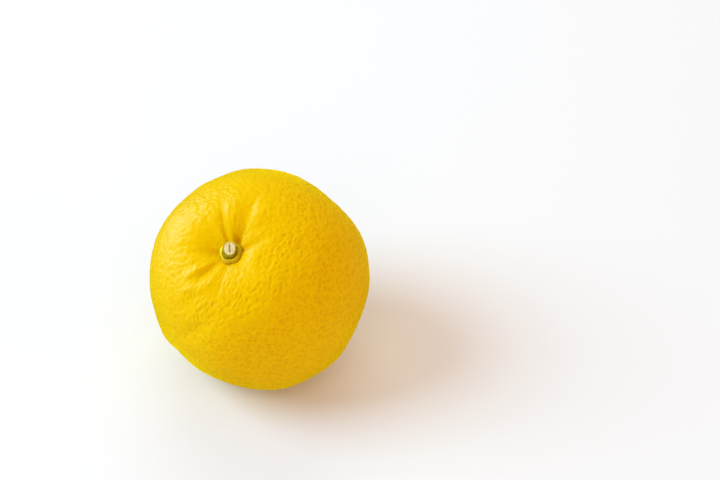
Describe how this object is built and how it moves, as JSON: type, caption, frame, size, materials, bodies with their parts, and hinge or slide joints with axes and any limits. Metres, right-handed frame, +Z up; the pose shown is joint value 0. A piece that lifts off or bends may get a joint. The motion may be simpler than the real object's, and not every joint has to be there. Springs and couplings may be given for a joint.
{
  "type": "yuzu",
  "caption": "Whole yuzu citrus fruit with a knobbly dimpled yellow rind, a furrowed stem pit, its green calyx and a short cut stub of stalk. It rests leaning on a small flat.",
  "frame": {"origin": "on the surface that the fruit rests on, under the middle of its bounding box", "axes": "+Z up, square to the flat that the fruit rests on; the stem end leans towards -Y and a little towards -X; +X is the right-hand side of someone who looks along +Y"},
  "size_m": [0.0694, 0.0668, 0.0611],
  "materials": {
    "rind": "satin",
    "calyx": "matte",
    "stalk": "matte"
  },
  "bodies": {
    "root": {"fruit": "rind", "calyx": "calyx", "stem_stub": "stalk"}
  },
  "joints": []
}
